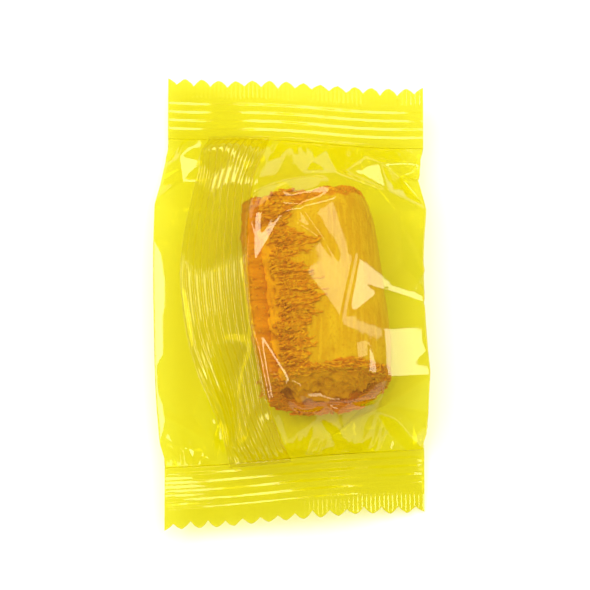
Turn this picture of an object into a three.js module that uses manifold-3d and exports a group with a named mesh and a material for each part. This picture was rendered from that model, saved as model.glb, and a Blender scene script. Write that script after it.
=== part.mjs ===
// A filled sweet in its wrapper, lying on its back with the wrapper's long seam up.
//
// The wrapper is one tube of clear yellow film. A long seam, the fin, joins the film's two
// edges, lies folded over on the top and is caught in a crimped, zigzag-cut seal at each end.
// The sweet inside lies to the right of the fin. The pack is shut and holds air, so it is one
// closed solid here: the pillow that the film makes over the sweet, both end seals and the fin.
//
// Millimetres. +Z is up, +Y runs along the pack and +X across it.

import * as THREE from 'three';
import { mergeVertices } from 'three/addons/utils/BufferGeometryUtils.js';
import Module from 'manifold-3d';

const degrees = Math.PI / 180;

// The whole wrapper.
const packLength = 56;
const sealDepth = 7.8;
const sealWidth = 32.5;
const bodyWidth = 34.5;
const bodyLength = packLength - 2 * sealDepth;
const edgeHeight = 4.2;
const filmThickness = 0.5;

// The sweet under the film.
const sweetWidth = 17;
const sweetLength = 29;
const sweetHeight = 13;
const sweetX = 2.6;
const sweetY = -0.5;
const sweetTurn = 7 * degrees;
const sweetRoundness = 2.5;
const sweetBluntness = 4.5;
const sweetFall = 4;
const sweetClearance = 0.3;

// The pillow of film round it.
const bellyRise = 0.6;
const pillowTop = 11.6;
const pillowBottom = -2.2;
const pillowDrape = 3.4;
const pillowShoulder = 2.3;
const pillowEnd = 2.6;
const pillowRound = 0.85;
const pillowSteps = 26;

// Both end seals. Each lies a little skewed, is slightly waved and has its corners raised or sunk.
const ridgePitch = 1.1;
const ridgeCount = 5;
const ridgeHeight = 0.22;
const toothCount = 15;
const toothDepth = 0.9;
const waveLength = 3.9;
const tail = { side: -1, skew: 5 * degrees, height: 3.1, roll: -1.1, wave: 0.7, phase: -1.0, lift: -0.8 };
const head = { side: 1, skew: -4 * degrees, height: 3.9, roll: 1.5, wave: 0.8, phase: 0.6, lift: 0.9 };

// The fin, a ridged band folded over to the left of the line where it is joined.
const finWidth = 9;
const finRidges = 9;
const finThickness = 0.45;
const finRidgeHeight = 0.2;
const finRoot = 0.6;
const finRootShare = 0.5;
const finHeadX = -3.5;
const finTailX = -0.5;
const finBow = 2.6;
const finSteps = 24;
const finReach = 1.015;

// How close two points are when they count as one, and how far a joined face may move to lose a sliver.
const weldDistance = 1e-4;
const joinTolerance = 0.02;

const film = new THREE.MeshStandardMaterial({ color: 0xf3e12c, roughness: 0.12, metalness: 0 });

function mix(a, b, share) {
  return a + (b - a) * share;
}

// The larger of two heights, with the corner between them rounded over a drape.
function drapeOver(a, b, drape) {
  return 0.5 * (a + b + Math.hypot(a - b, drape));
}

// The middle of an end seal: across from -1 to 1, and out from 0 at the pillow to 1 at the cut edge.
function sealPoint(end, across, out) {
  const x = (across * sealWidth) / 2;
  const y = end.side * (bodyLength / 2 + out * sealDepth);
  const sway = end.wave * Math.cos(across * waveLength + end.phase);
  return {
    x: x * Math.cos(end.skew),
    y: y + x * Math.sin(end.skew),
    z: end.height + end.roll * across + sway + end.lift * out * across * across,
  };
}

// The height of the sweet's upper side over a point. Beside the sweet it falls off steeply.
function sweetTop(x, y) {
  const dx = x - sweetX;
  const dy = y - sweetY;
  const across = Math.abs(dx * Math.cos(sweetTurn) + dy * Math.sin(sweetTurn)) / (sweetWidth / 2);
  const along = Math.abs(dy * Math.cos(sweetTurn) - dx * Math.sin(sweetTurn)) / (sweetLength / 2);
  const reach = (across ** sweetRoundness + along ** sweetBluntness) ** (1 / sweetRoundness);
  const rise = reach < 1 ? (1 - reach ** sweetRoundness) ** (1 / sweetRoundness) : (1 - reach) * sweetFall;
  return (sweetHeight / 2) * (1 + rise) + sweetClearance;
}

// The pillow's top and bottom at a place: across from -1 to 1, along from -1 to 1.
function pillow(across, along) {
  const share = THREE.MathUtils.clamp((along + 1) / 2, 0, 1);
  const from = sealPoint(tail, across, 0);
  const to = sealPoint(head, across, 0);
  const belly = Math.max(0, Math.sin(Math.PI * share)) ** bellyRise;
  const x = mix(from.x, to.x, share) * mix(1, bodyWidth / sealWidth, belly);
  const y = mix(from.y, to.y, (along + 1) / 2);
  const edge = mix(mix(from.z, to.z, share), edgeHeight, belly);
  const peak = (2 * sweetX) / bodyWidth;
  const spread = Math.abs(across - peak) / (across < peak ? 1 + peak : 1 - peak);
  const fullness = Math.max(0, 1 - spread ** pillowShoulder) ** pillowRound
    * Math.max(0, 1 - Math.abs(along) ** pillowEnd) ** pillowRound;
  const air = edge + filmThickness / 2 + (pillowTop - edge) * fullness;
  const covered = drapeOver(air, sweetTop(x, y), pillowDrape * fullness);
  const under = edge - filmThickness / 2 + (pillowBottom - edge) * fullness;
  return { x, y, top: Math.max(air, covered), bottom: Math.max(0, under) };
}

// An end seal's top and bottom in a row of points, a number of half ridges out from the pillow.
// The last row is the zigzag cut, with a tooth at every other point.
function sealRow(end, across, row) {
  const last = row > 2 * ridgeCount;
  const tooth = Math.round(((across + 1) / 2) * 2 * toothCount) % 2 === 0 ? toothDepth : 0;
  const distance = last ? sealDepth - tooth : (row * ridgePitch) / 2;
  const ridge = last ? 0 : ridgeHeight * (row % 2 === 0 ? -1 : 1);
  const spot = sealPoint(end, across, distance / sealDepth);
  const height = spot.z + ridge;
  return { x: spot.x, y: spot.y, top: height + filmThickness / 2, bottom: height - filmThickness / 2 };
}

// Moves every vertex of a stock geometry to where a rule puts it.
function shaped(geometry, rule) {
  const places = geometry.attributes.position;
  for (let i = 0; i < places.count; i += 1) {
    const spot = rule(places.getX(i), places.getY(i), places.getZ(i));
    places.setXYZ(i, spot.x, spot.y, spot.z);
  }
  return geometry;
}

// The pillow and both seals, as a sheet two points thick with rows of points from cut to cut.
function packGeometry() {
  const sealRows = 2 * ridgeCount + 1;
  const rows = pillowSteps + 2 * sealRows;
  const sheet = new THREE.BoxGeometry(2, 2, 2, 2 * toothCount, rows, 1);
  return shaped(sheet, (across, along, up) => {
    const row = Math.round(((along + 1) / 2) * rows) - sealRows;
    let place;
    if (row < 0) place = sealRow(tail, across, -row);
    else if (row > pillowSteps) place = sealRow(head, across, row - pillowSteps);
    else place = pillow(across, (2 * row) / pillowSteps - 1);
    return { x: place.x, y: place.y, z: up > 0 ? place.top : place.bottom };
  });
}

// The fin follows the top of the pillow and ends in the seals.
function finGeometry() {
  const band = new THREE.BoxGeometry(1, 2, 2, 2 * finRidges, finSteps, 1);
  return shaped(band, (beside, along, up) => {
    const share = (along + 1) / 2;
    const joint = mix(finTailX, finHeadX, share) - finBow * Math.sin(Math.PI * share);
    const x = joint - (0.5 - beside) * finWidth;
    const place = pillow(x / (bodyWidth / 2), along * finReach);
    const ridge = finRidgeHeight * Math.cos((beside + 0.5) * finRidges * 2 * Math.PI);
    const root = Math.min(finRoot, finRootShare * (place.top - place.bottom));
    return { x: place.x, y: place.y, z: place.top + (up > 0 ? finThickness + ridge : -root) };
  });
}

const wasm = await Module();
wasm.setup();

function solid(geometry) {
  geometry.deleteAttribute('normal');
  geometry.deleteAttribute('uv');
  const joined = mergeVertices(geometry, weldDistance);
  return new wasm.Manifold(new wasm.Mesh({
    numProp: 3,
    vertProperties: new Float32Array(joined.attributes.position.array),
    triVerts: new Uint32Array(joined.index.array),
  }));
}

function geometryOf(body) {
  const faces = body.getMesh();
  const geometry = new THREE.BufferGeometry();
  geometry.setAttribute('position', new THREE.BufferAttribute(faces.vertProperties, 3));
  geometry.setIndex(new THREE.BufferAttribute(faces.triVerts, 1));
  return geometry;
}

const wrapped = solid(packGeometry()).add(solid(finGeometry()));
// Joining can leave closed pockets finer than the film. The pack is the one large body without them.
const [pack] = wrapped.simplify(joinTolerance).decompose().sort((a, b) => b.volume() - a.volume());

const geometry = geometryOf(pack);
geometry.computeBoundingBox();
const box = geometry.boundingBox;
geometry.translate(-(box.min.x + box.max.x) / 2, -(box.min.y + box.max.y) / 2, -box.min.z);
geometry.computeVertexNormals();

const candy = new THREE.Mesh(geometry, film);
candy.name = 'wrapped_candy';

const object = new THREE.Group();
object.add(candy);
export default object;
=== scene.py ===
import math

import bmesh
import bpy
import numpy as np
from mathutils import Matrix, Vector
from mathutils.bvhtree import BVHTree
from mathutils.geometry import delaunay_2d_cdt


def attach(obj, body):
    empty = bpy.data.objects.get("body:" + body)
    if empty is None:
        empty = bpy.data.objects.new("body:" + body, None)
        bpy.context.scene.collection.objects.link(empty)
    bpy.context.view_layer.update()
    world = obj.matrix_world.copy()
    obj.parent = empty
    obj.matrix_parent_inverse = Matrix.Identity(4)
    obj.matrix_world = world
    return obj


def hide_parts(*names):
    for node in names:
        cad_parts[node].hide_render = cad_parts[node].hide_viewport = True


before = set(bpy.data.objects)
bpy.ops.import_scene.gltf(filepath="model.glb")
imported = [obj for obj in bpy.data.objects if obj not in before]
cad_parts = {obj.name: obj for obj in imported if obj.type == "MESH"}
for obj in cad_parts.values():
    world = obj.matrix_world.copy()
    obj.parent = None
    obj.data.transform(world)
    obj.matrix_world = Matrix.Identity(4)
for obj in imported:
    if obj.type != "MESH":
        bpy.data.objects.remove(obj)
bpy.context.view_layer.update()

MM = 0.001

# ----------------------------------------
# The candy's shell: a roll of pulled golden sugar candy about the size of a finger joint. It is
# drawn out while hot, which leaves fine lines along it, then folded over its filling, so one
# long side stays open as a ragged seam. One chopped end is cut aslant and gapes like a cup.
# ----------------------------------------

# millimetres, and degrees round the candy for the seam and its lips
CANDY_WIDTH = 17.0
CANDY_LENGTH = 29.0
CANDY_HEIGHT = 13.0
CANDY_X = 2.6
CANDY_Y = -0.5
CANDY_TURN = math.radians(7)
CANDY_LIFT = 0.25
CANDY_CENTRE = np.array([CANDY_X, CANDY_Y, CANDY_HEIGHT / 2 + CANDY_LIFT])
CANDY_ROUND = 2.3
CANDY_BLUNT = 4.5
CANDY_CUT = 0.96
SHELL_WALL = 0.22
SEAM_UPPER = 124.0
SEAM_LOWER = 143.0
TAIL_SLANT = 3.8
HEAD_SLANT = 1.2
SHELL_ROWS = 300
SHELL_ARC = 240
SHELL_INNER = 44
SHELL_LIP = 8
LIP_BULGE = 3.0
RIM_ROUND = 0.7
LIPS_APART = 8.0
UPPER_WANDER = (11.0, 9.0)
LOWER_WANDER = (6.0, 5.0)
END_WEAR = (0.06, 0.05)
TORN_FROM_UPPER = (3.9, 1.6)
TORN_FROM_LOWER = (2.6, 0.6)
TORN_FROM_END = (2.2, 0.6)
FIBRE_HEIGHT = 0.45
STRIPE_HEIGHT = 0.15
CRUMBLE_HEIGHT = 0.3
HOLLOW_DEPTH = 0.16


class Grain:
    """Smooth seeded noise in space, from -1 to 1, on a lattice that repeats."""

    def __init__(self, seed, cells=32):
        self.cells = cells
        self.table = np.random.default_rng(seed).random((cells, cells, cells)) * 2 - 1

    def at(self, points, size):
        place = points / np.asarray(size, float)
        low = np.floor(place).astype(int)
        part = place - low
        part = part * part * (3 - 2 * part)
        total = 0.0
        for corner in range(8):
            step = np.array([corner & 1, corner >> 1 & 1, corner >> 2 & 1])
            share = np.where(step == 1, part, 1 - part).prod(-1)
            cell = (low + step) % self.cells
            total = total + share * self.table[cell[..., 0], cell[..., 1], cell[..., 2]]
        return total

    def layered(self, points, size, octaves=3):
        size = np.asarray(size, float)
        total, weight, norm = 0.0, 1.0, 0.0
        for octave in range(octaves):
            total = total + weight * self.at(points + 7.3 * octave, size / 2 ** octave)
            norm += weight
            weight *= 0.55
        return total / norm


def ease(low, high, value):
    """0 below low, 1 above high, and smooth between. low may be the larger of the two."""
    share = np.clip((value - low) / (high - low), 0, 1)
    return share * share * (3 - 2 * share)


def power(value, exponent):
    return np.sign(value) * np.abs(value) ** exponent


def candy_place(turn, along, scale):
    """A point of the candy: turn round it in degrees, along it from -1 to 1, scale 1 on its skin."""
    girth = np.clip(1 - np.abs(along * CANDY_CUT) ** CANDY_BLUNT, 0, 1) ** (1 / CANDY_BLUNT)
    angle = np.radians(turn)
    x = CANDY_WIDTH / 2 * girth * scale * power(np.cos(angle), 2 / CANDY_ROUND)
    z = CANDY_HEIGHT / 2 * girth * scale * power(np.sin(angle), 2 / CANDY_ROUND)
    y = CANDY_LENGTH / 2 * CANDY_CUT * along
    return np.stack([x, y + 0 * x, z], -1)


def turned(points, angle):
    """Points turned about the upright axis."""
    c, s = math.cos(angle), math.sin(angle)
    x, y, z = points[..., 0], points[..., 1], points[..., 2]
    return np.stack([x * c - y * s, x * s + y * c, z], -1)


def from_axis(points):
    """Directions straight out from the candy's long axis."""
    outward = points * [1, 0, 1]
    return outward / (np.linalg.norm(outward, axis=-1, keepdims=True) + 1e-9)


def laid_in_pack(points):
    """Turns candy coordinates into the pack's, in millimetres."""
    return turned(points, CANDY_TURN) + CANDY_CENTRE


def band_faces(rows, columns, closed=False):
    """Quads of a grid of points, row by row. closed joins the last column to the first."""
    count = columns if closed else columns - 1
    row, column = np.meshgrid(np.arange(rows - 1), np.arange(count), indexing="ij")
    beside = (column + 1) % columns
    return np.stack([row * columns + column, row * columns + beside,
                     (row + 1) * columns + beside, (row + 1) * columns + column], -1).reshape(-1, 4)


def new_piece(name, points, faces, material, **measures):
    """A smooth mesh object from points in millimetres, with a number at each point for each measure."""
    points = points.reshape(-1, 3)
    mesh = bpy.data.meshes.new(name)
    mesh.vertices.add(len(points))
    mesh.vertices.foreach_set("co", (points * MM).astype(np.float32).ravel())
    mesh.loops.add(faces.size)
    mesh.loops.foreach_set("vertex_index", faces.astype(np.int32).ravel())
    mesh.polygons.add(len(faces))
    corners = faces.shape[1]
    mesh.polygons.foreach_set("loop_start", np.arange(0, faces.size, corners, dtype=np.int32))
    mesh.polygons.foreach_set("loop_total", np.full(len(faces), corners, dtype=np.int32))
    mesh.update(calc_edges=True)
    mesh.polygons.foreach_set("use_smooth", np.ones(len(faces), dtype=bool))
    for title, values in measures.items():
        layer = mesh.attributes.new(title, "FLOAT", "POINT")
        layer.data.foreach_set("value", values.astype(np.float32).ravel())
    mesh.materials.append(material)
    piece = bpy.data.objects.new(name, mesh)
    bpy.context.collection.objects.link(piece)
    return piece


class Wire:
    """One output in a node tree. Adding, multiplying and so on adds a Math node for it."""

    def __init__(self, tree, socket):
        self.tree = tree
        self.socket = socket

    def node(self, kind, values=(), output=0, **settings):
        """Adds a node, makes its settings, then fills its inputs from values, which may be wires."""
        made = self.tree.nodes.new(kind)
        for key, value in settings.items():
            setattr(made, key, value)
        pairs = values.items() if isinstance(values, dict) else enumerate(values)
        for key, value in pairs:
            if isinstance(value, Wire):
                self.tree.links.new(value.socket, made.inputs[key])
            elif value is not None:
                made.inputs[key].default_value = value
        return Wire(self.tree, made.outputs[output])

    def math(self, operation, *values):
        return self.node("ShaderNodeMath", values, operation=operation)

    def __add__(self, other):
        return self.math("ADD", self, other)

    def __radd__(self, other):
        return self.math("ADD", other, self)

    def __sub__(self, other):
        return self.math("SUBTRACT", self, other)

    def __rsub__(self, other):
        return self.math("SUBTRACT", other, self)

    def __mul__(self, other):
        return self.math("MULTIPLY", self, other)

    def __rmul__(self, other):
        return self.math("MULTIPLY", other, self)

    def __truediv__(self, other):
        return self.math("DIVIDE", self, other)

    def __pow__(self, other):
        return self.math("POWER", self, other)

    def __abs__(self):
        return self.math("ABSOLUTE", self)

    def held(self, low=0.0, high=1.0):
        return self.math("MINIMUM", self.math("MAXIMUM", self, low), high)

    def eased(self, low, high):
        return self.node("ShaderNodeMapRange", [self, low, high, 0.0, 1.0], interpolation_type="SMOOTHSTEP")

    def blend(self, first, second):
        """first where this wire is 0, second where it is 1. Both are colours."""
        return self.node("ShaderNodeMix", {0: self, 6: first, 7: second}, output=2, data_type="RGBA")

    def noise(self, size, detail=3.0, stretch=(1, 1, 1)):
        """Noise over the object's own coordinates, in features of size millimetres."""
        spot = self.node("ShaderNodeMapping", {"Vector": self.spot(), "Scale": stretch})
        return self.node("ShaderNodeTexNoise", {"Vector": spot, "Scale": 1 / (size * MM), "Detail": detail})

    def siblings(self):
        """All outputs of this wire's node, by name."""
        return {socket.name: Wire(self.tree, socket) for socket in self.socket.node.outputs}

    def spot(self):
        return self.node("ShaderNodeTexCoord", output="Object")

    def measure(self, title):
        return self.node("ShaderNodeAttribute", output="Fac", attribute_name=title)


def new_material(name, colour):
    """An empty node material, and the wire that its nodes are added with."""
    material = bpy.data.materials.new(name)
    material.use_nodes = True
    material.diffuse_color = (*colour, 1)
    material.node_tree.nodes.clear()
    return material, Wire(material.node_tree, None)


def finish_material(start, shader):
    output = start.tree.nodes.new("ShaderNodeOutputMaterial")
    start.tree.links.new(shader.socket, output.inputs["Surface"])


def shell_material():
    """Satin sugar candy: golden where smooth, deep orange where torn, with painted shade in its hollows."""
    golden = (0.66, 0.37, 0.035, 1)
    pale = (0.78, 0.50, 0.11, 1)
    tawny = (0.56, 0.25, 0.020, 1)
    orange = (0.64, 0.21, 0.008, 1)
    straw = (0.78, 0.35, 0.022, 1)
    painted_hollow_shade = (0.50, 0.18, 0.007, 1)
    vivid = (0.76, 0.23, 0.005, 1)
    material, start = new_material("candy_shell", golden[:3])
    torn = start.measure("torn")
    relief = start.measure("relief")
    hollow = start.measure("hollow")
    lines = start.noise(0.5, detail=5, stretch=(1, 0.07, 1))
    cloud = start.noise(5.0, detail=3)
    grain = start.noise(0.3, detail=4)
    drift = start.noise(2.2, detail=3, stretch=(1, 0.3, 1))
    satin = (cloud.eased(0.36, 0.66) * 0.7).blend(golden, pale)
    satin = (drift.eased(0.46, 0.72) * 0.55).blend(satin, tawny)
    satin = (lines.eased(0.46, 0.64) * 0.6).blend(satin, pale)
    satin = (grain.eased(0.52, 0.7) * 0.5).blend(satin, tawny)
    shredded = (relief * 1.1 + grain * 0.5 - 0.45).held().blend(orange, straw)
    shredded = (start.measure("fiery") * (0.3 + cloud)).held().blend(shredded, vivid)
    skin = torn.eased(0.1, 0.7).blend(satin, shredded)
    # painted shade: the hollows and the inside of the wall are darkened
    skin = hollow.eased(0.1, 0.95).blend(skin, painted_hollow_shade)
    shade = start.node("ShaderNodeBump", {"Strength": 0.8, "Distance": 0.12 * MM,
                                          "Height": lines + grain * (0.55 + 0.8 * torn)})
    shader = start.node("ShaderNodeBsdfPrincipled", {
        "Base Color": skin, "Roughness": (0.34 + 0.3 * torn + 0.2 * grain).held(), "Normal": shade,
        "Subsurface Weight": 0.3, "Subsurface Radius": (1.0, 0.6, 0.15), "Subsurface Scale": 1.0 * MM,
        "Specular IOR Level": 0.36})
    finish_material(start, shader)
    return material


def close_ends(piece):
    """Merges the points that meet where a wall runs out, and hands the piece back."""
    shape = bmesh.new()
    shape.from_mesh(piece.data)
    bmesh.ops.remove_doubles(shape, verts=shape.verts, dist=0.0005 * MM)
    shape.to_mesh(piece.data)
    shape.free()
    return piece


def hollows(relief, reach):
    """How far each point of a grid lies below its surroundings, from 0 to 1."""
    around = relief
    for _ in range(reach):
        beside = (np.roll(around, 1, 1) + np.roll(around, -1, 1)) / 2
        ahead = np.concatenate([around[:1], around[:-1]])
        behind = np.concatenate([around[1:], around[-1:]])
        around = (2 * around + 2 * beside + ahead + behind) / 6
    return np.clip((around - relief) / HOLLOW_DEPTH, 0, 1)


def end_pulled_in(turn, along):
    """Where a row of the candy really lies along it, as both ends are chopped aslant."""
    top = (1 + np.sin(np.radians(turn))) / 2
    slant = np.where(along < 0, TAIL_SLANT, HEAD_SLANT) * top / (CANDY_LENGTH / 2)
    return along * (1 - slant * ease(0.25, 1.0, np.abs(along)))


def make_shell():
    """The shell as a C-shaped wall: out along its skin, round one lip, back inside, round the other."""
    rows = np.linspace(-1, 1, SHELL_ROWS)
    out_share = np.linspace(0, 1, SHELL_ARC)
    back_share = np.linspace(1, 0, SHELL_INNER)
    lip_share = np.linspace(0, 1, SHELL_LIP + 2)[1:-1]
    share = np.concatenate([out_share, np.ones(SHELL_LIP), back_share, np.zeros(SHELL_LIP)])[None, :]
    depth = np.concatenate([0 * out_share, lip_share, np.ones(SHELL_INNER), lip_share[::-1]])[None, :]
    grain = Grain(11)

    # both lips of the seam wander along the candy
    line = np.stack([0 * rows, rows * CANDY_LENGTH / 2, 0 * rows], -1)
    wide, narrow = UPPER_WANDER
    upper = SEAM_UPPER + wide * grain.layered(line, 5.0) + narrow * grain.layered(line + 40, 1.1)
    wide, narrow = LOWER_WANDER
    lower = SEAM_LOWER + wide * grain.layered(line + 90, 6.0) + narrow * grain.layered(line + 130, 1.3)
    lower = np.maximum(lower, upper + LIPS_APART)[:, None]
    upper = upper[:, None] + 360
    rounding = LIP_BULGE * np.sin(np.pi * depth)
    turn = lower + (upper - lower) * share + rounding * (2 * share - 1)
    radius = (CANDY_WIDTH + CANDY_HEIGHT) / 4
    from_upper = np.radians(upper - turn) * radius
    from_lower = np.radians(turn - lower) * radius
    from_end = (1 - np.abs(rows[:, None])) * CANDY_LENGTH / 2 + 0 * turn

    # the chopped ends run in and out round the candy
    along = end_pulled_in(turn, np.repeat(rows[:, None], turn.shape[1], 1))
    skin = candy_place(turn, along, 1.0)
    section = skin * [1, 0, 1] + [0, 1, 0] * np.sign(along)[..., None] * 30
    wide, narrow = END_WEAR
    wear = wide * grain.layered(section + 60, 2.6) + narrow * grain.layered(section, 0.8)
    wear = wear * np.where(along < 0, 1.3, 1.0)
    along = along * (1 + wear * ease(0.55, 1.0, np.abs(along)))
    skin = candy_place(turn, along, 1.0)

    frayed = grain.layered(skin + 20, 2.2, 3)
    torn_upper = ease(*TORN_FROM_UPPER, from_upper + 1.5 * frayed)
    torn_lower = ease(*TORN_FROM_LOWER, from_lower + 1.1 * frayed)
    torn_end = ease(*TORN_FROM_END, from_end + 1.4 * frayed)
    torn_side = np.maximum(torn_upper, torn_lower)
    torn = np.maximum(torn_side, torn_end)

    flat = np.stack([np.radians(turn) * radius, skin[..., 1], 0 * turn], -1)
    drawn = grain.layered(flat + 5, (0.5, 10.0, 1), 3)
    swell = grain.layered(skin + 33, (4.5, 7.0, 4.5), 2)
    dimple = grain.layered(skin + 140, (1.5, 2.4, 1.5), 2)
    bent = flat + 0.5 * grain.layered(skin + 9, 1.6, 2)[..., None]
    fibre = 1 - 2.2 * np.abs(grain.layered(bent + 70, (2.6, 0.75, 1), 2))
    stripe = 1 - 2.2 * np.abs(grain.layered(bent + 170, (1.9, 0.42, 1), 2))
    crumb = grain.layered(skin + 77, 0.9, 3)
    smooth = 0.06 * drawn + 0.26 * swell + 0.08 * dimple
    grit = grain.layered(skin + 50, 0.45, 2)
    relief = (smooth * (1 - 0.6 * torn) + torn_upper * FIBRE_HEIGHT * fibre
              + torn_lower * STRIPE_HEIGHT * stripe + torn_end * CRUMBLE_HEIGHT * crumb
              + torn * (0.16 * crumb + 0.1 * grit))

    # the lower lip curls out, the upper lip and the ends sink in
    droop = 0.9 * ease(3.6, 0.2, from_lower) - 0.7 * ease(3.4, 0.0, from_upper)
    droop = droop - 0.3 * ease(2.0, 0.0, from_end)

    # the wall thins to nothing at each end, which rounds the rims
    rim = np.sqrt(1 - np.clip(1 - from_end / RIM_ROUND, 0, 1) ** 2)
    inward = 0.5 + (depth - 0.5) * rim
    points = candy_place(turn, along, 1 - SHELL_WALL * inward)
    outward = from_axis(points)
    pushed = (relief + droop) * (1 - 0.7 * inward) * rim
    gritty = 0.5 * crumb + 0.25 * grain.layered(skin + 50, 0.5, 2)
    points = points + outward * (pushed + depth * rim * gritty)[..., None]
    points[..., 1] += np.sign(along) * torn_end * 0.4 * rim * crumb

    # painted shade: dark where it lies low, and on the inside of the wall
    low = hollows(relief, 14) * (1 - depth) + depth * (0.1 + 0.7 * ease(0.1, -0.5, crumb))
    at_tail = along < 0
    frayed_out = torn_upper * ease(0.5, 0.1, depth) + 0.35 * torn_end * at_tail
    crumbly = (torn + 1.5 * torn_end) * ease(0.9, 0.2, depth) + 3 * torn_end * at_tail * depth
    faces = band_faces(SHELL_ROWS, turn.shape[1], closed=True)
    return close_ends(new_piece(
        "candy_shell", laid_in_pack(points), faces[:, ::-1], shell_material(),
        torn=np.maximum(torn, depth), relief=0.45 + 0.8 * relief, hollow=low,
        shreds=frayed_out, crumbs=crumbly, fiery=ease(5.0, 1.0, from_end) * at_tail))


candy_shell = make_shell()
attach(candy_shell, "root")
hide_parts("wrapped_candy")

# ----------------------------------------
# The filling: crumbly layers of ground peanut in sugar, packed inside the shell. It shows dark
# and rough in the open seam and, sunk in a hollow, at the slanted end.
# ----------------------------------------

FILLING_SCALE = 0.9
FILLING_FACE = 0.86
FILLING_RIM = 0.92
FILLING_ROWS = 120
FILLING_FACE_ROWS = 50
FILLING_RIM_ROWS = 20
FILLING_ROUND = 260
FILLING_SUNK = 1.0
FILLING_GAP = 0.35
LAYER_PITCH = 0.85
LAYER_HEIGHT = 0.12
LUMP_HEIGHT = 0.5
PIT_DEPTH = 0.4


def filling_material():
    """Matt crumbly paste, golden brown with darker patches, and painted shade in its hollows."""
    light = (0.92, 0.48, 0.035, 1)
    brown = (0.80, 0.35, 0.014, 1)
    burnt_patch_and_shade = (0.58, 0.22, 0.007, 1)
    material, start = new_material("peanut_filling", light[:3])
    relief = start.measure("relief")
    hollow = start.measure("hollow")
    grit = start.noise(0.25, detail=4)
    patch = start.noise(1.8, detail=2)
    body = (relief * 0.9 + grit * 0.6 - 0.4).held().blend(brown, light)
    body = (patch.eased(0.5, 0.75) * 0.5).blend(body, burnt_patch_and_shade)
    # painted shade: darker in the hollows of the sides and the pits of the end faces
    colour = hollow.eased(0.1, 0.9).blend(body, burnt_patch_and_shade)
    shade = start.node("ShaderNodeBump", {"Strength": 0.7, "Distance": 0.12 * MM, "Height": grit})
    shader = start.node("ShaderNodeBsdfPrincipled", {
        "Base Color": colour, "Roughness": (0.5 + 0.35 * grit).held(), "Normal": shade,
        "Specular IOR Level": 0.25})
    finish_material(start, shader)
    return material


def make_filling():
    """A core a little smaller than the shell's inside, with a sunk face at each end."""
    rim_size = np.linspace(1, FILLING_RIM, FILLING_RIM_ROWS)
    size = np.concatenate([rim_size, np.linspace(FILLING_RIM, 0, FILLING_FACE_ROWS)[1:]])
    cut = FILLING_FACE + (1 - FILLING_FACE) * np.sqrt(1 - size ** 2)
    side = np.linspace(-FILLING_FACE, FILLING_FACE, FILLING_ROWS)[1:-1]
    rows = np.concatenate([-cut[::-1], side, cut])[:, None]
    turn = np.linspace(0, 360, FILLING_ROUND, endpoint=False)[None, :]
    inward = np.clip((np.abs(rows) - FILLING_FACE) / (1 - FILLING_FACE), 0, 1)
    along = end_pulled_in(turn, np.sign(rows) * np.minimum(np.abs(rows) / FILLING_FACE, 1) + 0 * turn)
    sunk = FILLING_SUNK * ease(0.0, 0.5, inward) + FILLING_GAP
    along = along - np.sign(rows) * sunk / (CANDY_LENGTH / 2) * ease(0.5, 1, np.abs(along))
    scale = FILLING_SCALE * np.sqrt(1 - inward ** 2 * 0.999999)
    skin = candy_place(turn, along, scale)
    level = candy_place(turn, along, 1.0)[..., 1].mean(1, keepdims=True)
    skin[..., 1] += (level - skin[..., 1]) * inward ** 2
    grain = Grain(23)
    crumb = grain.layered(skin, 1.2, 3)
    pits = -ease(0.2, 0.55, grain.at(skin + 12, 0.75))
    ring = np.sin(2 * np.pi * (1 - scale) * CANDY_HEIGHT / 2 / LAYER_PITCH) * ease(0.05, 0.4, inward)
    outward = from_axis(skin)
    relief = LUMP_HEIGHT * crumb + PIT_DEPTH * pits
    points = skin + outward * (relief * (1 - inward))[..., None]
    rough = 0.9 * crumb + LAYER_HEIGHT * ring + 0.45 * pits
    points[..., 1] += np.sign(rows) * ease(0, 0.2, inward) * rough
    points[0] = points[0].mean(0)
    points[-1] = points[-1].mean(0)
    faces = band_faces(len(rows), FILLING_ROUND, closed=True)
    face = ease(0.0, 0.15, inward)
    # painted shade: how dark each point is, from the hollows of its sides and the pits of its end faces
    low = (1 - face) * hollows(relief, 10) + face * ease(0.05, -0.7, crumb + 0.5 * pits)
    return close_ends(new_piece("peanut_filling", laid_in_pack(points), faces[:, ::-1],
                                filling_material(), relief=0.5 + relief, hollow=low))


peanut_filling = make_filling()
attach(peanut_filling, "root")
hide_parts("wrapped_candy")

# ----------------------------------------
# Shreds and crumbs: where the candy was torn it frays into fine, slightly curled shreds that lie
# across the seam, and grains of it stick to every torn edge.
# ----------------------------------------

SHRED_LENGTH = 2.1
SHRED_THICKNESS = 0.27
SHRED_CURL = 0.13
SHRED_SPREAD = 0.26
SHRED_SINK = 0.05
SHREDS_PER_MM2 = 5.4
CRUMB_SIZE = 0.36
CRUMB_LEAST = (0.35, 0.35, 0.35)
CRUMB_MOST = (1.4, 1.2, 1.0)
CRUMBS_PER_MM2 = 1.4


def new_tree(name, inputs):
    """A node tree with named inputs, and a wire to start from."""
    tree = bpy.data.node_groups.new(name, "GeometryNodeTree")
    tree.interface.new_socket(name="Geometry", in_out="OUTPUT", socket_type="NodeSocketGeometry")
    for title, kind in inputs.items():
        tree.interface.new_socket(name=title, in_out="INPUT", socket_type="NodeSocket" + kind)
    start = Wire(tree, None)
    return tree, start, start.node("NodeGroupInput").siblings()


def finish_tree(start, geometry, material):
    """Makes what the tree has placed real, smooth and of one material."""
    whole = start.node("GeometryNodeRealizeInstances", {"Geometry": geometry})
    smooth = start.node("GeometryNodeSetShadeSmooth", {"Geometry": whole})
    coated = start.node("GeometryNodeSetMaterial", {"Geometry": smooth, "Material": material})
    output = start.tree.nodes.new("NodeGroupOutput")
    start.tree.links.new(coated.socket, output.inputs["Geometry"])


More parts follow.
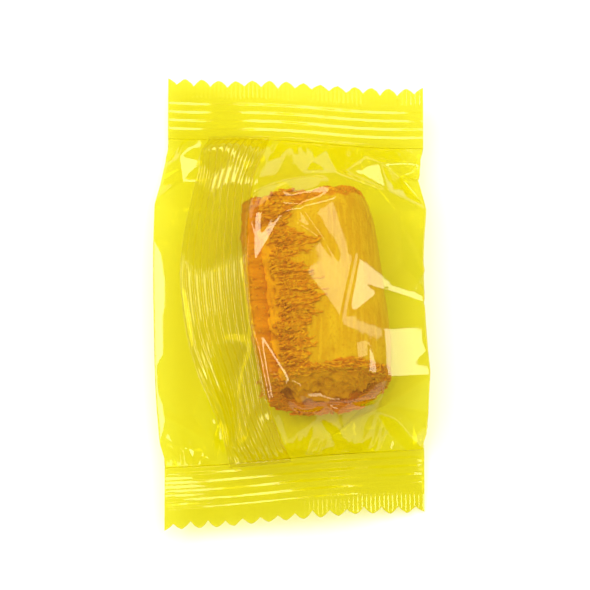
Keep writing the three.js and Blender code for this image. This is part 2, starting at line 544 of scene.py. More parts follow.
def built_by(tree, name, given):
    """A mesh object with what a node tree builds from the values given to its named inputs."""
    piece = bpy.data.objects.new(name, bpy.data.meshes.new(name))
    bpy.context.collection.objects.link(piece)
    builder = piece.modifiers.new("build", "NODES")
    builder.node_group = tree
    for socket in tree.interface.items_tree:
        if socket.in_out == "INPUT":
            builder[socket.identifier] = given[socket.name]
    made = piece.evaluated_get(bpy.context.evaluated_depsgraph_get())
    mesh = bpy.data.meshes.new_from_object(made)
    piece.modifiers.remove(builder)
    piece.data = mesh
    mesh.name = name
    return piece


def scattered_on(start, given, title):
    """Random points on an object, more of them where its measure of that title is high."""
    ground = start.node("GeometryNodeObjectInfo", {"Object": given["On"]}, output="Geometry",
                        transform_space="ORIGINAL")
    wanted = start.node("GeometryNodeInputNamedAttribute", {"Name": title}, output="Attribute",
                        data_type="FLOAT")
    return start.node("GeometryNodeDistributePointsOnFaces", {
        "Mesh": ground, "Density": wanted * given["Density"] * 1e6, "Seed": given["Seed"]},
        output="Points", distribute_method="RANDOM")


def random_vector(start, given, low, high):
    return start.node("FunctionNodeRandomValue", {0: low, 1: high, "Seed": given["Seed"]},
                      data_type="FLOAT_VECTOR")


def shred_tree():
    """Curled, tapered strands on a surface, more of them where its shreds measure is high."""
    tree, start, given = new_tree("shreds", {
        "On": "Object", "Density": "Float", "Length": "Float", "Thickness": "Float", "Curl": "Float",
        "Spread": "Float", "Sink": "Float", "Seed": "Int", "Material": "Material"})
    scattered = scattered_on(start, given, "shreds")
    normal = scattered.siblings()["Normal"]

    # one strand: a short line that curls, thick in the middle, swept into a closed tube
    share = start.node("GeometryNodeSplineParameter", output="Factor")
    line = start.node("GeometryNodeCurvePrimitiveLine", {"Start": (-0.5, 0, 0), "End": (0.5, 0, 0)})
    line = start.node("GeometryNodeResampleCurve", {"Curve": line, "Count": 11})
    centred = share - 0.5
    curled = start.node("ShaderNodeCombineXYZ", [
        centred, given["Curl"] * 0.4 * start.math("SINE", share * 6.5),
        given["Curl"] * (0.25 - centred * centred) * 1.1])
    line = start.node("GeometryNodeSetPosition", {"Geometry": line, "Position": curled})
    taper = start.math("SQRT", (1.02 - 4 * centred * centred).held(0.02, 1))
    line = start.node("GeometryNodeSetCurveRadius", {"Curve": line, "Radius": taper})
    ring = start.node("GeometryNodeCurvePrimitiveCircle", {
        "Resolution": 6, "Radius": given["Thickness"] / given["Length"] / 2})
    strand = start.node("GeometryNodeCurveToMesh", {"Curve": line, "Profile Curve": ring, "Fill Caps": True})

    # each lies across the seam, turned a little at random
    axis = (math.sin(-CANDY_TURN), math.cos(CANDY_TURN), 0)
    across = start.node("ShaderNodeVectorMath", [axis, normal], operation="CROSS_PRODUCT")
    facing = start.node("FunctionNodeAlignRotationToVector", {"Vector": normal}, axis="Z")
    facing = start.node("FunctionNodeAlignRotationToVector", {"Rotation": facing, "Vector": across},
                        axis="X", pivot_axis="Z")
    low = start.node("ShaderNodeCombineXYZ", [-0.5, -0.22, given["Spread"] * -1])
    high = start.node("ShaderNodeCombineXYZ", [0.5, 0.22, given["Spread"]])
    sway = start.node("FunctionNodeEulerToRotation", [random_vector(start, given, low, high)])
    facing = start.node("FunctionNodeRotateRotation", {"Rotation": facing, "Rotate By": sway},
                        rotation_space="LOCAL")
    size = start.node("FunctionNodeRandomValue", {2: 0.55, 3: 1.35, "Seed": given["Seed"]}, output=1,
                      data_type="FLOAT")
    sunk = start.node("ShaderNodeVectorMath", {0: normal, "Scale": given["Sink"] * -MM}, operation="SCALE")
    scattered = start.node("GeometryNodeSetPosition", {"Geometry": scattered, "Offset": sunk})
    placed = start.node("GeometryNodeInstanceOnPoints", {
        "Points": scattered, "Instance": strand, "Rotation": facing, "Scale": size * given["Length"] * MM})
    finish_tree(start, placed, given["Material"])
    return tree


def crumb_tree():
    """Small angular grains on a surface, more of them where its crumbs measure is high."""
    tree, start, given = new_tree("crumbs", {
        "On": "Object", "Density": "Float", "Size": "Float", "Seed": "Int", "Material": "Material"})
    scattered = scattered_on(start, given, "crumbs")
    ball = start.node("GeometryNodeMeshIcoSphere", {"Radius": 0.5, "Subdivisions": 2})
    spot = start.node("GeometryNodeInputPosition")
    lump = start.node("ShaderNodeTexNoise", {"Vector": spot, "Scale": 2.2, "Detail": 1.0}, output="Color")
    lump = start.node("ShaderNodeVectorMath", [lump, (0.5, 0.5, 0.5)], operation="SUBTRACT")
    grain = start.node("GeometryNodeSetPosition", {"Geometry": ball, "Offset": lump})
    facing = random_vector(start, given, (0, 0, 0), (6.3, 6.3, 6.3))
    facing = start.node("FunctionNodeEulerToRotation", [facing])
    size = random_vector(start, given, CRUMB_LEAST, CRUMB_MOST)
    scale = start.node("ShaderNodeVectorMath", {0: size, "Scale": given["Size"] * MM}, operation="SCALE")
    placed = start.node("GeometryNodeInstanceOnPoints", {
        "Points": scattered, "Instance": grain, "Rotation": facing, "Scale": scale})
    finish_tree(start, placed, given["Material"])
    return tree


def shred_material():
    """Torn candy in the light: patches of orange and straw, and vivid orange at the slanted end."""
    orange = (0.64, 0.21, 0.008, 1)
    straw = (0.80, 0.38, 0.025, 1)
    vivid = (0.78, 0.25, 0.005, 1)
    material, start = new_material("torn_candy", orange[:3])
    tone = start.noise(0.5, detail=3)
    grain = start.noise(0.15, detail=2)
    colour = tone.eased(0.35, 0.68).blend(orange, straw)
    along = start.node("ShaderNodeSeparateXYZ", [start.spot()], output=1)
    end = along.eased(-11 * MM, -13.5 * MM) * (0.45 + 0.8 * tone)
    colour = end.held().blend(colour, vivid)
    shade = start.node("ShaderNodeBump", {"Strength": 0.4, "Distance": 0.05 * MM, "Height": grain})
    shader = start.node("ShaderNodeBsdfPrincipled", {
        "Base Color": colour, "Roughness": (0.35 + 0.3 * grain).held(), "Normal": shade,
        "Subsurface Weight": 0.2, "Subsurface Radius": (1.0, 0.5, 0.12), "Subsurface Scale": 0.8 * MM})
    finish_material(start, shader)
    return material


torn_candy = shred_material()
shreds = shred_tree()
crumbs = crumb_tree()
coarse_shreds = built_by(shreds, "coarse_shreds", {
    "On": candy_shell, "Density": SHREDS_PER_MM2, "Length": SHRED_LENGTH, "Thickness": SHRED_THICKNESS,
    "Curl": SHRED_CURL, "Spread": SHRED_SPREAD, "Sink": SHRED_SINK, "Seed": 4, "Material": torn_candy})
fine_shreds = built_by(shreds, "fine_shreds", {
    "On": candy_shell, "Density": 1.4 * SHREDS_PER_MM2, "Length": 0.55 * SHRED_LENGTH,
    "Thickness": 0.6 * SHRED_THICKNESS, "Curl": 2 * SHRED_CURL, "Spread": 2 * SHRED_SPREAD,
    "Sink": 0.0, "Seed": 21, "Material": torn_candy})
candy_crumbs = built_by(crumbs, "candy_crumbs", {
    "On": candy_shell, "Density": CRUMBS_PER_MM2, "Size": CRUMB_SIZE, "Seed": 9, "Material": torn_candy})
for torn_piece in (coarse_shreds, fine_shreds, candy_crumbs):
    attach(torn_piece, "root")
    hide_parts("wrapped_candy")

# ----------------------------------------
# The film: one sheet of stiff clear yellow film, wrapped round the candy as a tube and sealed
# across at both ends with some air inside. Stiff film doesn't stretch, so it lies in flat
# facets that meet in sharp creases, and it is gathered in fine pleats where the seals hold it.
# ----------------------------------------

SEAL_WIDTH = 32.5
SEAL_DEPTH = 7.8
BODY_LENGTH = 40.4
BODY_WIDTH = 34.5
EDGE_HEIGHT = 4.2
FLAT_WIDTH = 39.6
FLAT_LENGTH = 43.5
FILM_GAP = 0.1
PILLOW_TOP = 11.6
PILLOW_SINK = 2
PILLOW_RISE = 0.6
PILLOW_SHOULDER = 2.3
PILLOW_END = 2.6
PILLOW_ROUND = 0.85
PILLOW_VOLUME = 10300.0
FACET_SPACING = 6.0
FACET_CLEARANCE = 1.05
FACETS_ACROSS_SEAL = 16
FACETS_ALONG_FOLD = 12
FACET_TRIES = 6000
SETTLE_STEPS = 700
SETTLE_ROUNDS = 8
SETTLE_LIFT = 0.04
SETTLE_SCATTER = 0.25
SETTLE_PULL = 1.6
SPEED_KEPT = 0.9
TOP_SPEED = 0.3
AIR_PUSH = 0.12
FILM_WEIGHT = 0.004
FILM_COLUMNS = 180
FILM_ROWS = 240
FILM_CLEARANCE = 0.35
FILM_LIFT = 0.03
LEFT_FOLD_HELD = 0.027
SHARPNESS = 0.72
JOINT_HEIGHT = 0.25
JOINT_WIDTH = 0.5
CREASES = 20
CREASE_LENGTH = (7, 17)
CREASE_HEIGHT = (0.10, 0.2)
CREASE_WIDTH = 0.28
PLEAT_PITCH = 0.9
PLEAT_HEIGHT = 0.17
PLEAT_REACH = 4.0
SEAL_BLEND_ROWS = 8
FIN_WIDTH = 9.4
FIN_TAIL = 19.2
FIN_HEAD = 15.8
FIN_BOW = 2.9
# how each end seal lies: skewed, rolled and waved, with its corners raised or sunk
TAIL = {"side": -1, "skew": math.radians(5), "height": 3.1, "roll": -1.1,
        "wave": 0.7, "phase": -1.0, "lift": -0.8}
HEAD = {"side": 1, "skew": math.radians(-4), "height": 3.9, "roll": 1.5,
        "wave": 0.8, "phase": 0.6, "lift": 0.9}
SEAL_WAVE = 3.9


def seal_line(end, across):
    """The line where an end seal meets the pillow, across from -1 to 1."""
    x = across * SEAL_WIDTH / 2
    y = end["side"] * BODY_LENGTH / 2
    sway = end["wave"] * np.cos(across * SEAL_WAVE + end["phase"])
    return np.stack([x * math.cos(end["skew"]), y + x * math.sin(end["skew"]),
                     end["height"] + end["roll"] * across + sway], -1)


def puffed(round_share, along_share):
    """The film before it creases: 0 to 1 round it is the top from left to right, 1 to 2 the bottom."""
    top = round_share <= 1
    across = np.where(top, 2 * round_share - 1, 3 - 2 * round_share)
    low, high = seal_line(TAIL, across), seal_line(HEAD, across)
    belly = np.clip(np.sin(np.pi * along_share), 0, 1) ** PILLOW_RISE
    line = low + (high - low) * along_share[..., None]
    x = line[..., 0] * (1 + (BODY_WIDTH / SEAL_WIDTH - 1) * belly)
    edge = line[..., 2] + (EDGE_HEIGHT - line[..., 2]) * belly
    peak = 2 * CANDY_X / BODY_WIDTH
    spread = np.abs(across - peak) / np.where(across < peak, 1 + peak, 1 - peak)
    across_full = np.clip(1 - spread ** PILLOW_SHOULDER, 0, 1) ** PILLOW_ROUND
    along_full = np.clip(1 - np.abs(2 * along_share - 1) ** PILLOW_END, 0, 1) ** PILLOW_ROUND
    full = across_full * along_full
    above = edge + FILM_GAP / 2 + (PILLOW_TOP - edge) * full
    below = np.maximum(edge - FILM_GAP / 2 - (edge + PILLOW_SINK) * full, SETTLE_LIFT)
    return np.stack([x, line[..., 1], np.where(top, above, below)], -1)


def clear_of_candy(points, gap, rounds=3):
    """Moves the points that are inside the candy's outer form straight out of it."""
    half = np.array([CANDY_WIDTH, CANDY_LENGTH, CANDY_HEIGHT]) / 2 + gap
    for _ in range(rounds):
        local = turned(points - CANDY_CENTRE, -CANDY_TURN) / half
        ring = (np.abs(local[..., 0]) ** CANDY_ROUND + np.abs(local[..., 2]) ** CANDY_ROUND + 1e-12)
        ring = ring ** (1 / CANDY_ROUND)
        size = (ring ** CANDY_BLUNT + np.abs(local[..., 1]) ** CANDY_BLUNT) ** (1 / CANDY_BLUNT)
        inside = size < 1
        if not inside.any():
            break
        local, ring, size = local[inside], ring[inside], size[inside]
        shared = size ** (1 - CANDY_BLUNT)
        round_it = shared * ring ** (CANDY_BLUNT - CANDY_ROUND)
        slope = np.stack([round_it * power(local[..., 0], CANDY_ROUND - 1) / half[0],
                          shared * power(local[..., 1], CANDY_BLUNT - 1) / half[1],
                          round_it * power(local[..., 2], CANDY_ROUND - 1) / half[2]], -1)
        step = np.minimum((1 - size) / ((slope ** 2).sum(-1) + 1e-9), 2.0)
        moved = local * half + slope * step[..., None]
        points[inside] = CANDY_CENTRE + turned(moved, CANDY_TURN)
    return points


def facet_corners(draw):
    """Corners of the facets on the unrolled film: on the seals, on both folds, and scattered between."""
    held, free = [], []
    for at in (0.0, FLAT_LENGTH):
        for step in range(2 * FACETS_ACROSS_SEAL):
            held.append((step * FLAT_WIDTH / FACETS_ACROSS_SEAL, at))
    for step in range(1, FACETS_ALONG_FOLD):
        for fold in (0.0, FLAT_WIDTH):
            free.append((fold, FLAT_LENGTH * (step + draw.uniform(-0.25, 0.25)) / FACETS_ALONG_FOLD))
    for _ in range(FACET_TRIES):
        spot = draw.uniform((0.8, 1.6), (2 * FLAT_WIDTH - 0.8, FLAT_LENGTH - 1.6))
        from_seal = min(spot[1], FLAT_LENGTH - spot[1])
        room = 0.95 * np.interp(from_seal, [1.5, 5, 12], [2.0, 2.6, FACET_SPACING])
        taken = np.array(held + free)
        beside = np.abs(taken[:, 0] - spot[0])
        beside = np.minimum(beside, 2 * FLAT_WIDTH - beside)
        if (np.hypot(beside, taken[:, 1] - spot[1]) > room).all():
            free.append(tuple(spot))
    return np.array(held + free), len(held)


def facets_between(corners):
    """Triangles between the corners, on the film unrolled. The left fold is there at both sides."""
    left = np.where(corners[:, 0] < 1e-6)[0]
    unrolled = np.concatenate([corners, corners[left] + [2 * FLAT_WIDTH, 0]])
    owner = np.concatenate([np.arange(len(corners)), left])
    creases = []
    for fold in (0.0, FLAT_WIDTH, 2 * FLAT_WIDTH):
        on_fold = np.where(np.abs(unrolled[:, 0] - fold) < 1e-6)[0]
        on_fold = on_fold[np.argsort(unrolled[on_fold, 1])]
        creases += list(zip(on_fold[:-1].tolist(), on_fold[1:].tolist()))
    made = delaunay_2d_cdt([Vector(spot) for spot in unrolled], creases, [], 0, 1e-6)
    source = [spots[0] for spots in made[3]]
    return unrolled, owner, np.array([[source[k] for k in face] for face in made[2]])


def settled(draw, corners, held, unrolled, owner, facets):
    """Lets the facets, which keep their size, come to rest over the candy under the pack's air."""
    count = len(corners)
    points = puffed(corners[:, 0] / FLAT_WIDTH, corners[:, 1] / FLAT_LENGTH)
    points[held:] += draw.normal(0, SETTLE_SCATTER, (count - held, 3))
    anchored = points[:held].copy()
    free = (np.arange(count) >= held).astype(float)[:, None]
    sides = np.concatenate([facets[:, [0, 1]], facets[:, [1, 2]], facets[:, [2, 0]]])
    length = np.linalg.norm(unrolled[sides[:, 0]] - unrolled[sides[:, 1]], axis=1)
    pairs = np.sort(owner[sides], axis=1)
    pairs, first = np.unique(pairs, axis=0, return_index=True)
    length = length[first]
    loose = (pairs[:, 0] != pairs[:, 1]) & (pairs[:, 1] >= held)
    pairs, length = pairs[loose], length[loose]
    shares = np.bincount(pairs.ravel(), minlength=count)[:, None]
    corner_of = owner[facets]
    speed = np.zeros_like(points)
    for _ in range(SETTLE_STEPS):
        a, b, c = (points[corner_of[:, k]] for k in range(3))
        area = np.cross(b - a, c - a) / 2
        volume = (area * (a + b + c)).sum() / 9
        push = np.stack([sum(np.bincount(corner_of[:, k], area[:, axis], count) for k in range(3))
                         for axis in range(3)], -1) * np.sign(volume)
        push /= np.linalg.norm(push, axis=1, keepdims=True) + 1e-9
        air = np.clip((PILLOW_VOLUME - abs(volume)) / PILLOW_VOLUME * 3, -1, 1)
        before = points.copy()
        points += free * (SPEED_KEPT * speed + AIR_PUSH * air * push - [0, 0, FILM_WEIGHT])
        for _ in range(SETTLE_ROUNDS):
            reach = points[pairs[:, 1]] - points[pairs[:, 0]]
            now = np.linalg.norm(reach, axis=1) + 1e-9
            pull = reach * ((now - length) / now * 0.5)[:, None]
            moved = np.stack([np.bincount(pairs[:, 0], pull[:, axis], count)
                              - np.bincount(pairs[:, 1], pull[:, axis], count) for axis in range(3)], -1)
            points += free * moved / shares * SETTLE_PULL
            clear_of_candy(points, FACET_CLEARANCE, 1)
            points[:, 2] = np.maximum(points[:, 2], SETTLE_LIFT)
            points[:held] = anchored
        speed = points - before
        pace = np.linalg.norm(speed, axis=1, keepdims=True)
        speed *= np.minimum(1, TOP_SPEED / (pace + 1e-9))
    return points


def spread_over(points, unrolled, owner, facets):
    """A fine grid of points on the flat facets: rows along the tube, columns round it."""
    across = np.arange(2 * FILM_COLUMNS) * FLAT_WIDTH / FILM_COLUMNS
    along = np.linspace(0, FLAT_LENGTH, FILM_ROWS + 1)
    grid = np.zeros((FILM_ROWS + 1, 2 * FILM_COLUMNS, 3))
    for facet in facets:
        a, b, c = unrolled[facet]
        low, high = unrolled[facet].min(0) - 1e-6, unrolled[facet].max(0) + 1e-6
        rows = slice(*np.searchsorted(along, [low[1], high[1]]))
        columns = slice(*np.searchsorted(across, [low[0], high[0]]))
        u, v = np.meshgrid(across[columns], along[rows])
        whole = (b[1] - c[1]) * (a[0] - c[0]) + (c[0] - b[0]) * (a[1] - c[1])
        to_a = ((b[1] - c[1]) * (u - c[0]) + (c[0] - b[0]) * (v - c[1])) / whole
        to_b = ((c[1] - a[1]) * (u - c[0]) + (a[0] - c[0]) * (v - c[1])) / whole
        weights = np.stack([to_a, to_b, 1 - to_a - to_b], -1)
        inside = (weights > -1e-6).all(-1)
        grid[rows, columns][inside] = (weights @ points[owner[facet]])[inside]
    return grid


def softened(grid, passes):
    """The grid with its creases rounded over. Both ends stay where they are."""
    for _ in range(passes):
        grid = grid + 0.5 * ((np.roll(grid, 1, 1) + np.roll(grid, -1, 1)) / 2 - grid)
        inner = (grid[2:] + grid[:-2]) / 2 - grid[1:-1]
        grid[1:-1] += 0.5 * inner
    return grid


def outward_of(grid, closed=True):
    """The unit normal at each point of a grid."""
    if closed:
        beside = np.roll(grid, -1, 1) - np.roll(grid, 1, 1)
    else:
        beside = np.gradient(grid, axis=1)
    normal = np.cross(beside, np.gradient(grid, axis=0))
    return normal / (np.linalg.norm(normal, axis=-1, keepdims=True) + 1e-12)


def fin_joint(along):
    """Where the film's two edges are joined, in millimetres across the flat film, along from 0 to 1."""
    return FIN_TAIL + (FIN_HEAD - FIN_TAIL) * along - FIN_BOW * np.sin(np.pi * along)


def film_material(name, tint, haze, roughness):
    """Clear yellow film: it tints what is behind it, more so where steep, and is more or less milky."""
    deep = tuple(part ** 2 for part in tint)
    milk = (1.0, 0.94, 0.14, 1)
    cream = (1.0, 0.97, 0.75, 1)
    material, start = new_material(name, (0.93, 0.86, 0.15))
    facing = start.node("ShaderNodeLayerWeight", {"Blend": 0.5}, output="Facing")
    mirror = (0.06 + 1.5 * facing ** 5).held(0, 1)
    ripple = start.noise(1.6, detail=3)
    shade = start.node("ShaderNodeBump", {"Strength": 0.1, "Distance": 0.02 * MM, "Height": ripple})
    thin = start.node("ShaderNodeBsdfTransparent", {"Color": tint})
    steep = start.node("ShaderNodeBsdfTransparent", {"Color": deep})
    clear = start.node("ShaderNodeMixShader", [(facing / (1.04 - facing)).held(), thin, steep])
    gloss = start.node("ShaderNodeBsdfGlossy", {"Color": cream, "Roughness": roughness, "Normal": shade})
    milky = start.node("ShaderNodeBsdfTranslucent", {"Color": milk})
    body = start.node("ShaderNodeMixShader", [mirror, clear, gloss])
    cloud = haze * (0.7 + 0.6 * start.noise(5.0, detail=2))
    finish_material(start, start.node("ShaderNodeMixShader", [cloud, body, milky]))
    return material


def make_film(look):
    """The tube of film, and the same film with its creases smoothed out, which the fin lies on."""
    draw = np.random.default_rng(7)
    corners, held = facet_corners(draw)
    unrolled, owner, facets = facets_between(corners)
    points = settled(draw, corners, held, unrolled, owner, facets)
    grid = spread_over(points, unrolled, owner, facets)
    u = np.arange(2 * FILM_COLUMNS)[None, :] * FLAT_WIDTH / FILM_COLUMNS
    v = np.linspace(0, FLAT_LENGTH, FILM_ROWS + 1)[:, None]

    # the left side is drawn in a little, most halfway along the pack
    bow = np.sin(np.pi * v / FLAT_LENGTH)
    grid[..., 0] *= np.where(grid[..., 0] < 0, 1 - LEFT_FOLD_HELD * bow, 1)
    calm = softened(grid, 60)

    # the fin holds the film under it flatter, and its joint stands up a little
    joint = fin_joint(v / FLAT_LENGTH)
    under_fin = ease(0, 1.5, u - joint + FIN_WIDTH) * ease(1.2, 0, u - joint)
    crease = (SHARPNESS * (1 - 0.8 * under_fin))[..., None]
    grid = crease * softened(grid, 2) + (1 - crease) * calm
    grid[..., 2] += JOINT_HEIGHT * np.exp(-((u - joint) / JOINT_WIDTH) ** 2)

    # long straight creases, where the film was once folded or is pulled tight over the candy
    for _ in range(CREASES):
        start = draw.uniform((0, 0.15 * FLAT_LENGTH), (2 * FLAT_WIDTH, 0.85 * FLAT_LENGTH))
        lean = draw.uniform(-1.0, 1.0) + draw.choice([0.0, math.pi / 2], p=[0.65, 0.35])
        reach = draw.uniform(*CREASE_LENGTH)
        aside = (u - start[0]) * math.cos(lean) - (v - start[1]) * math.sin(lean)
        onward = (u - start[0]) * math.sin(lean) + (v - start[1]) * math.cos(lean)
        fade = ease(0, 0.3 * reach, onward) * ease(reach, 0.7 * reach, onward) * (1 - under_fin)
        height = draw.uniform(*CREASE_HEIGHT) * draw.choice([1, -1])
        rise = height * fade * np.exp(-np.abs(aside) / CREASE_WIDTH)
        grid = grid + outward_of(grid) * rise[..., None]

    # fine pleats fan out from both seals, on both sheets
    grain = Grain(31)
    for from_seal, seed in ((v, 3.0), (FLAT_LENGTH - v, 17.0)):
        spot = np.stack([u * (1 - 0.012 * from_seal) + seed * 9, from_seal + 0 * u, 0 * u * v], -1)
        pleat = 1 - 2 * np.abs(grain.layered(spot, (PLEAT_PITCH, 16.0, 1.0), 2))
        size = PLEAT_HEIGHT * ease(0, 1.4, from_seal) * np.exp(-from_seal / PLEAT_REACH)
        size = size * (1 - 0.7 * under_fin)
        grid = grid + outward_of(grid) * (size * pleat)[..., None]
    clear_of_candy(grid, FILM_CLEARANCE)
    grid[..., 2] = np.maximum(grid[..., 2], FILM_LIFT)

    # both ends lie exactly on the seal lines, where the two sheets meet
    across = np.where(u[0] <= FLAT_WIDTH, 2 * u[0] / FLAT_WIDTH - 1, 3 - 2 * u[0] / FLAT_WIDTH)
    for row, way, end in ((0, 1, TAIL), (FILM_ROWS, -1, HEAD)):
        for sheet in (grid, calm):
            shift = seal_line(end, across) - sheet[row]
            for step in range(SEAL_BLEND_ROWS):
                sheet[row + way * step] += shift * (1 - step / SEAL_BLEND_ROWS)
    faces = band_faces(FILM_ROWS + 1, 2 * FILM_COLUMNS, closed=True)
    return close_ends(new_piece("film_body", grid, faces, look)), calm


def held_under(piece, film):
    """Presses what still pokes through the film down under it."""
    skin = BVHTree.FromPolygons([spot.co for spot in film.data.vertices],
                                [tuple(face.vertices) for face in film.data.polygons])
    top = Vector((0, 0, 0.05))
    for spot in piece.data.vertices:
        above = skin.ray_cast(Vector((spot.co.x, spot.co.y, top.z)), Vector((0, 0, -1)))[0]
        if above is not None and above.z - FILM_GAP * MM < spot.co.z:
            spot.co.z = above.z - FILM_GAP * MM


film_look = film_material("film", (0.958, 0.942, 0.23, 1), 0.07, 0.045)
film_body, calm_film = make_film(film_look)
for torn_piece in (candy_shell, coarse_shreds, fine_shreds, candy_crumbs):
    held_under(torn_piece, film_body)
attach(film_body, "root")
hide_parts("wrapped_candy")

# ----------------------------------------
# Both end seals: the two sheets of film pressed together between hot jaws, which leave ridges
# along each seal and fine serrations at its cut edge, then cut off with a zigzag blade.
# ----------------------------------------

SEAL_COLUMNS = 421
SEAL_PROFILE = 171
SEAL_THICKNESS = 0.12
SEAL_RIDGES = {"Ridge Pitch": 1.08, "Ridge Height": 0.125, "Plain Strip": 2.3, "Serration Pitch": 0.55,
               "Serration Height": 0.04, "Teeth": 15.0, "Tooth Depth": 0.8}


def seal_tree():
    """The node tree of a seal: a grid folded over at the cut edge, so its halves are the two sheets."""
    titles = ["Side", "Skew", "Height", "Roll", "Wave", "Phase", "Lift", "Width", "Depth", "Body Length",
              "Thickness", *SEAL_RIDGES]
    inputs = {"Film": "Material", **{title: "Float" for title in titles}}
    tree, start, given = new_tree("crimped_seal", inputs)
    grid = start.node("GeometryNodeMeshGrid", {"Size X": 2.0, "Size Y": 2.0, "Vertices X": SEAL_COLUMNS,
                                               "Vertices Y": SEAL_PROFILE})
    spot = start.node("GeometryNodeInputPosition")
    along_grid = start.node("ShaderNodeSeparateXYZ", [spot], output=1)
    across = start.node("ShaderNodeSeparateXYZ", [spot], output=0) * given["Side"] * -1
    out = 1 - abs(along_grid)
    sheet = start.math("SIGN", along_grid)
    x = across * given["Width"] / 2

    # rounded teeth with sharp notches between them
    tooth = start.math("PINGPONG", (across + 1) * given["Teeth"] / 2, 0.5) * 2
    tooth = tooth ** 1.5
    wander = start.node("ShaderNodeTexNoise", {"Vector": spot, "Scale": 3.0, "Detail": 2.0})
    cut = start.node("ShaderNodeTexNoise", {"Vector": spot, "Scale": 11.0, "Detail": 1.0})
    reach = given["Depth"] - given["Tooth Depth"] * (0.3 + 1.4 * cut) * tooth - 0.7 * (wander - 0.4).held()
    distance = out * reach
    strip_start = given["Depth"] - given["Plain Strip"]
    strip = distance.eased(strip_start - 0.35, strip_start)

    # ridges along the pressed part, serrations across the plain strip beyond it
    pressed = distance.eased(0.1, 0.8) * (1 - strip)
    wave = start.math("COSINE", distance * 2 * math.pi / given["Ridge Pitch"])
    flank = start.math("ARCSINE", wave * 0.985) * (2 / math.pi)
    uneven = start.node("ShaderNodeTexNoise", {"Vector": spot, "Scale": 2.5, "Detail": 2.0})
    ridge = flank * given["Ridge Height"] * (0.5 + uneven)
    serration = start.math("COSINE", x * 2 * math.pi / given["Serration Pitch"]) * given["Serration Height"]
    rim = (out * 40).held() * ((1 - out) * 30).held() * ((1 - abs(across)) * 60).held()
    level = (given["Height"] + given["Roll"] * across
             + given["Wave"] * start.math("COSINE", across * SEAL_WAVE + given["Phase"])
             + given["Lift"] * distance / given["Depth"] * across * across
             + ridge * pressed + serration * strip
             + sheet * given["Thickness"] / 2 * start.math("SQRT", rim))
    away = given["Side"] * (given["Body Length"] / 2 + distance)
    placed = start.node("ShaderNodeCombineXYZ", [x * start.math("COSINE", given["Skew"]) * MM,
                                                 (away + x * start.math("SINE", given["Skew"])) * MM,
                                                 level * MM])
    moved = start.node("GeometryNodeSetPosition", {"Geometry": grid, "Position": placed})
    joined = start.node("GeometryNodeMergeByDistance", {"Geometry": moved, "Distance": 0.0005 * MM})
    finish_tree(start, joined, given["Film"])
    return tree


def make_seal(tree, name, end):
    given = {title.capitalize(): float(value) for title, value in end.items()}
    given.update(SEAL_RIDGES)
    given.update({"Film": pressed_film, "Width": SEAL_WIDTH, "Depth": SEAL_DEPTH, "Body Length": BODY_LENGTH,
                  "Thickness": SEAL_THICKNESS})
    piece = built_by(tree, name, given)
    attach(piece, "root")
    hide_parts("wrapped_candy")
    return piece


pressed_film = film_material("pressed_film", (0.945, 0.925, 0.2, 1), 0.12, 0.08)
crimped_seal = seal_tree()
make_seal(crimped_seal, "end_seal_tail", TAIL)
make_seal(crimped_seal, "end_seal_head", HEAD)

# ----------------------------------------
# The fin: the film's two long edges pressed together in narrow ridges and folded over to the
# left. It lies along the top of the pack, springs up a little at its free edge and is caught
# in both end seals.
# ----------------------------------------

FIN_RIDGES = 9
FIN_RIDGE_HEIGHT = 0.13
FIN_THICKNESS = 0.1
FIN_SPRING = 0.75
FIN_CAUGHT = 0.45
FIN_LIFT = 0.14
FIN_LOOSENESS = 0.15
FIN_ROWS = 260
FIN_COLUMNS = 150


def sampled(grid, across, along):
    """The grid's points at places between its own: across in millimetres, along from 0 to 1."""
    column = across * FILM_COLUMNS / FLAT_WIDTH
    row = np.clip(along * FILM_ROWS, 0, FILM_ROWS - 1e-6)
    j, i = np.floor(column).astype(int), np.floor(row).astype(int)
    s, t = (column - j)[..., None], (row - i)[..., None]
    return ((1 - t) * ((1 - s) * grid[i, j] + s * grid[i, j + 1])
            + t * ((1 - s) * grid[i + 1, j] + s * grid[i + 1, j + 1]))


def make_fin(look):
    along = np.linspace(-FIN_CAUGHT, FLAT_LENGTH + FIN_CAUGHT, FIN_ROWS)[:, None] / FLAT_LENGTH
    free = np.linspace(0, 1, FIN_COLUMNS)[None, :]
    across = fin_joint(np.clip(along, 0, 1)) - free * FIN_WIDTH
    base = sampled(calm_film, across, np.clip(along, 0, 1) + 0 * free)
    into_seal = (along - np.clip(along, 0, 1)) * FLAT_LENGTH
    base[..., 1] += into_seal
    outward = outward_of(base[:, ::-1], closed=False)[:, ::-1]
    grain = Grain(57)
    zero = 0 * along + 0 * free
    sway = grain.layered(np.stack([zero, zero + along * 43, zero + 2], -1), 7.0, 2)
    held = ease(0, 0.06, along) * ease(1, 0.94, along)
    on_top = ease(-0.008, 0.008, along) * ease(1.008, 0.992, along)
    lift = FIN_LIFT * on_top + FIN_LOOSENESS * held
    lift = lift + held * free ** 1.5 * FIN_SPRING * (1 + 0.9 * sway)
    wave = np.cos(2 * np.pi * FIN_RIDGES * free) * (1 + 0.3 * sway)
    ridge = FIN_RIDGE_HEIGHT * wave * ease(0, 0.06, free) * ease(1, 0.97, free)
    middle = base + outward * (lift + ridge * (0.35 * on_top + 0.65 * held))[..., None]
    from_end = FIN_CAUGHT - np.abs(into_seal)
    rim = np.clip(free * 40, 0, 1) * np.clip((1 - free) * 40, 0, 1) * np.clip(from_end * 5, 0, 1)
    half = (FIN_THICKNESS / 2 * (0.4 + 0.6 * on_top) * np.sqrt(rim))[..., None]
    loop = np.concatenate([middle + outward * half, (middle - outward * half)[:, -2:0:-1]], 1)
    faces = band_faces(FIN_ROWS, loop.shape[1], closed=True)
    return close_ends(new_piece("fin_seal", loop, faces[:, ::-1], look))


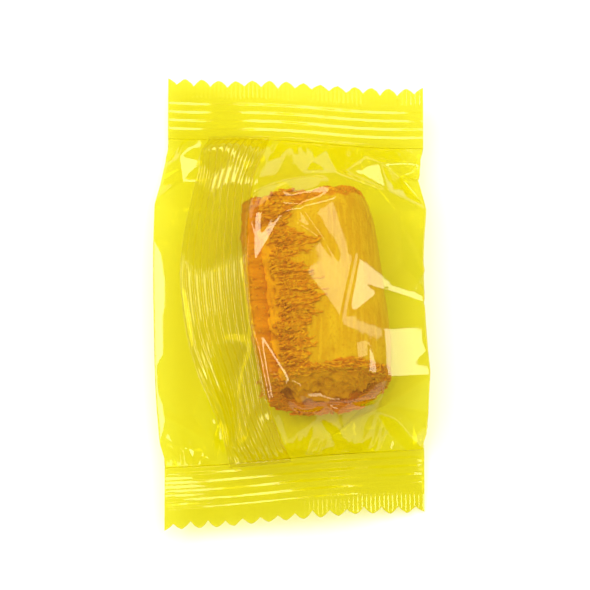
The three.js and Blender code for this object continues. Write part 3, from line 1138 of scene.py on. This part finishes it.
fin_seal = make_fin(film_material("fin_film", (0.975, 0.958, 0.32, 1), 0.07, 0.06))
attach(fin_seal, "root")
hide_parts("wrapped_candy")

# ----------------------------------------
# The stage: a plain white table in a dim pale room, under a wide panel and three softboxes that
# light it. Two of these and four more, which light nothing, are mirrored by the film as crisp
# glints. The camera looks nearly straight down.
# ----------------------------------------

TARGET = Vector((0.0, 0.0, 0.006))
CAMERA_ELEVATION = math.radians(78)
CAMERA_DISTANCE = 0.42
CAMERA_LENS = 205.0
FLOOR_SIZE = 3.0
TABLE_WHITE = (0.9, 0.9, 0.9)
ROOM_GLOW = 0.3
LIGHTS = (((-0.26, 0.10, 0.33), (0.17, 0.12), 5.4, True, False),
          ((0.30, 0.08, 0.30), (0.11, 0.13), 2.7, True, True),
          ((0.00, 0.42, 0.27), (0.34, 0.13), 5.0, True, True),
          ((0.04, -0.40, 0.28), (0.30, 0.10), 4.5, False, True),
          ((0.10, 0.17, 0.42), (0.12, 0.09), 2.8, False, True),
          ((0.46, 0.02, 0.16), (0.16, 0.20), 6.0, False, True),
          ((-0.46, -0.02, 0.16), (0.50, 0.12), 7.0, False, True),
          ((0.00, 0.05, 1.00), (1.3, 1.3), 2.3, True, False))
SOFTBOX_COLOUR = (1.0, 0.97, 0.88)


def aimed(item, place):
    """An object for a light or camera at a place, turned to look at the candy."""
    thing = bpy.data.objects.new(item.name, item)
    bpy.context.collection.objects.link(thing)
    thing.location = place
    thing.rotation_euler = (TARGET - place).to_track_quat("-Z", "Y").to_euler()
    return thing


def make_stage():
    white, start = new_material("table", TABLE_WHITE)
    finish_material(start, start.node("ShaderNodeBsdfDiffuse", {"Color": (*TABLE_WHITE, 1)}))
    far = FLOOR_SIZE / 2 / MM
    corners = np.array([[-far, -far, 0], [far, -far, 0], [far, far, 0], [-far, far, 0]])
    floor = new_piece("table", corners, np.array([[0, 1, 2, 3]]), white)
    for number, (place, size, radiance, lights_candy, glints_on_film) in enumerate(LIGHTS):
        light = bpy.data.lights.new(f"softbox_{number + 1}", "AREA")
        light.shape = "RECTANGLE"
        light.size, light.size_y = size
        light.energy = radiance * math.pi * size[0] * size[1]
        lamp = aimed(light, Vector(place))
        lamp.visible_diffuse = lights_candy
        lamp.visible_glossy = glints_on_film
        if glints_on_film:
            light.color = SOFTBOX_COLOUR
    room = bpy.data.worlds.new("room")
    room.use_nodes = True
    glow = room.node_tree.nodes["Background"].inputs
    glow["Color"].default_value = (1, 1, 1, 1)
    glow["Strength"].default_value = ROOM_GLOW
    scene = bpy.context.scene
    scene.world = room
    lens = bpy.data.cameras.new("camera")
    lens.lens = CAMERA_LENS
    lens.clip_start = 0.01
    away = Vector((0, -math.cos(CAMERA_ELEVATION), math.sin(CAMERA_ELEVATION)))
    scene.camera = aimed(lens, TARGET + away * CAMERA_DISTANCE)
    scene.cycles.transparent_max_bounces = 32
    scene.view_settings.view_transform = "Standard"


make_stage()
